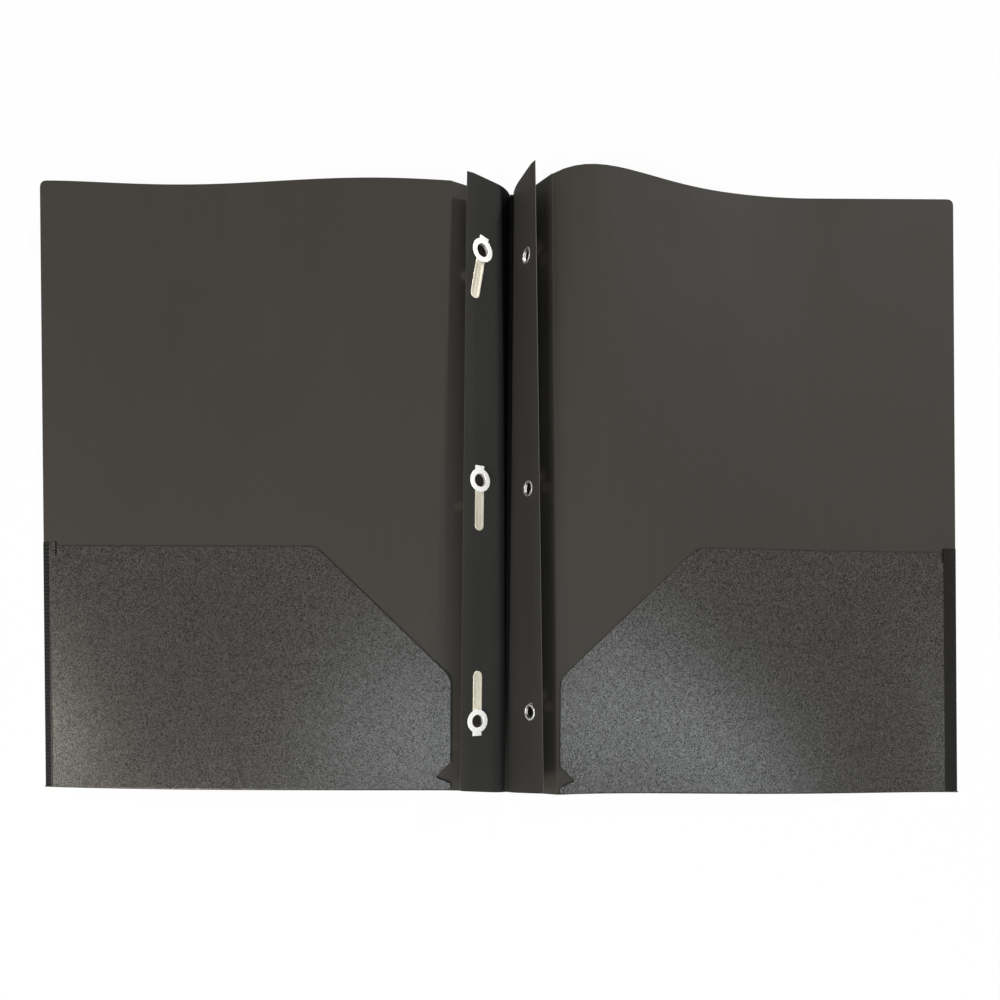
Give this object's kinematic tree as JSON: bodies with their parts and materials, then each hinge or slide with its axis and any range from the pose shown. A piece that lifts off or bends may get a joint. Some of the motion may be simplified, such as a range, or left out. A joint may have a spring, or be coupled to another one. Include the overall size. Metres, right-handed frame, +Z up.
{
  "type": "two pocket folder",
  "caption": "Letter size plastic folder lying open, with a pocket on each cover and a V shaped fastener strip whose bendable metal prongs pass through eyelets.",
  "frame": {"origin": "middle of the spine's underside, on the table", "axes": "+X towards the back cover's outer edge, +Y towards the top edge, +Z up from the table"},
  "size_m": [0.455, 0.2972, 0.0281],
  "materials": {
    "sheet_matte": "smooth matte black polypropylene sheet, the inside of the covers",
    "sheet_grained": "fine sand grain with a soft sheen, the outside of the same sheet",
    "weld_seam": "ridged welded edge",
    "eyelet_nickel": "bright nickel plate",
    "prong_plated": "pale brassy plate, slightly brushed"
  },
  "bodies": {
    "spine": {"spine_strip": "sheet_matte", "fastener_base": "sheet_matte"},
    "front_strip": {"front_hinge_strip": "sheet_matte"},
    "front_cover": {"front_cover": "sheet_matte", "front_pocket": "sheet_grained", "front_bottom_fold": "sheet_grained", "front_pocket_weld": "weld_seam"},
    "back_strip": {"back_hinge_strip": "sheet_matte"},
    "back_cover": {"back_cover": "sheet_matte", "back_pocket": "sheet_grained", "back_bottom_fold": "sheet_grained", "back_pocket_weld": "weld_seam"},
    "front_flap": {"front_flap": "sheet_matte", "prong_base_bottom": "prong_plated", "prong_base_middle": "prong_plated", "prong_base_top": "prong_plated", "prong_eyelet_bottom": "eyelet_nickel", "prong_eyelet_middle": "eyelet_nickel", "prong_eyelet_top": "eyelet_nickel"},
    "back_flap": {"back_flap": "sheet_matte", "receiving_eyelet_bottom": "eyelet_nickel", "receiving_eyelet_middle": "eyelet_nickel", "receiving_eyelet_top": "eyelet_nickel"},
    "tang_bottom": {"prong_tang_bottom": "prong_plated"},
    "tang_middle": {"prong_tang_middle": "prong_plated"},
    "tang_top": {"prong_tang_top": "prong_plated"}
  },
  "joints": [
    {"name": "front_strip_fold", "type": "hinge", "parent": "spine", "child": "front_strip", "pos_m": [-0.0045, 0, 0.0005], "axis": [0, 1, 0], "range_deg": [0, 51]},
    {"name": "front_cover_fold", "type": "hinge", "parent": "front_strip", "child": "front_cover", "pos_m": [-0.0304, 0, 0.00842], "axis": [0.0094, 0.9995, 0.0308], "range_deg": [0, 35]},
    {"name": "front_flap_fold", "type": "hinge", "parent": "spine", "child": "front_flap", "pos_m": [-0.00055, -0.0005, 0.002], "axis": [0.003, 1, 0], "range_deg": [0, 29]},
    {"name": "back_strip_fold", "type": "hinge", "parent": "spine", "child": "back_strip", "pos_m": [0.0045, 0, 0.0005], "axis": [0, -1, 0], "range_deg": [0, 28]},
    {"name": "back_cover_fold", "type": "hinge", "parent": "back_strip", "child": "back_cover", "pos_m": [0.02191, 0, 0.0159], "axis": [0.0155, -0.9997, -0.0176], "range_deg": [0, 57]},
    {"name": "back_flap_fold", "type": "hinge", "parent": "spine", "child": "back_flap", "pos_m": [0.00105, -0.0005, 0.002], "axis": [-0.003, -1, 0], "range_deg": [0, 14.5]},
    {"name": "tang_bottom_bend", "type": "hinge", "parent": "front_flap", "child": "tang_bottom", "pos_m": [-0.0143, -0.1067, 0.01577], "axis": [-0.8267, 0.0029, 0.5627], "range_deg": [-90, 0]},
    {"name": "tang_middle_bend", "type": "hinge", "parent": "front_flap", "child": "tang_middle", "pos_m": [-0.01381, -0.00315, 0.01593], "axis": [0.819, -0.0029, -0.5738], "range_deg": [-90, 0]},
    {"name": "tang_top_bend", "type": "hinge", "parent": "front_flap", "child": "tang_top", "pos_m": [-0.01412, 0.10679, 0.01669], "axis": [0.7983, -0.1764, -0.5758], "range_deg": [-90, 0]}
  ],
  "couplings": [
    {"joint": "front_flap_fold", "follows": "front_strip_fold", "ratio": 0.56863},
    {"joint": "back_flap_fold", "follows": "back_strip_fold", "ratio": 0.51786}
  ]
}
